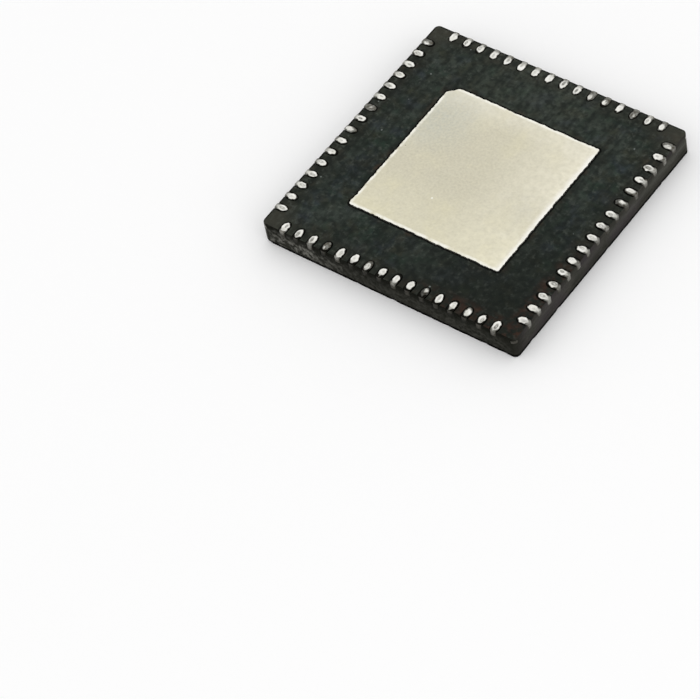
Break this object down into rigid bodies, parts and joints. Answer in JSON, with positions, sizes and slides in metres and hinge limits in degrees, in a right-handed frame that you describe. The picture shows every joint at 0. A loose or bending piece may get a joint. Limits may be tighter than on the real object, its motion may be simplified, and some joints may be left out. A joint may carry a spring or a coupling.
{
  "type": "qfn chip",
  "caption": "Square leadless chip package lying on its lid: black moulding, tin terminals around its edge, a bare die pad with a pin 1 chamfer, and the die and bond wires inside.",
  "frame": {"origin": "centre of the lid face, which the chip lies on", "axes": "+Z points out of the terminal face; the sides run along X and Y; pin 1 is at the corner on -X and +Y"},
  "size_m": [0.009, 0.009, 0.0009],
  "materials": {
    "moulding": "matte black filled epoxy",
    "tin": "satin tin plate on copper",
    "adhesive": "silver-filled epoxy",
    "silicon": "polished silicon, with copper bond wires"
  },
  "bodies": {
    "root": {"body_with_terminals": "moulding", "die_paddle": "tin", "die_attach": "adhesive", "die_with_bond_wires": "silicon"}
  },
  "joints": []
}
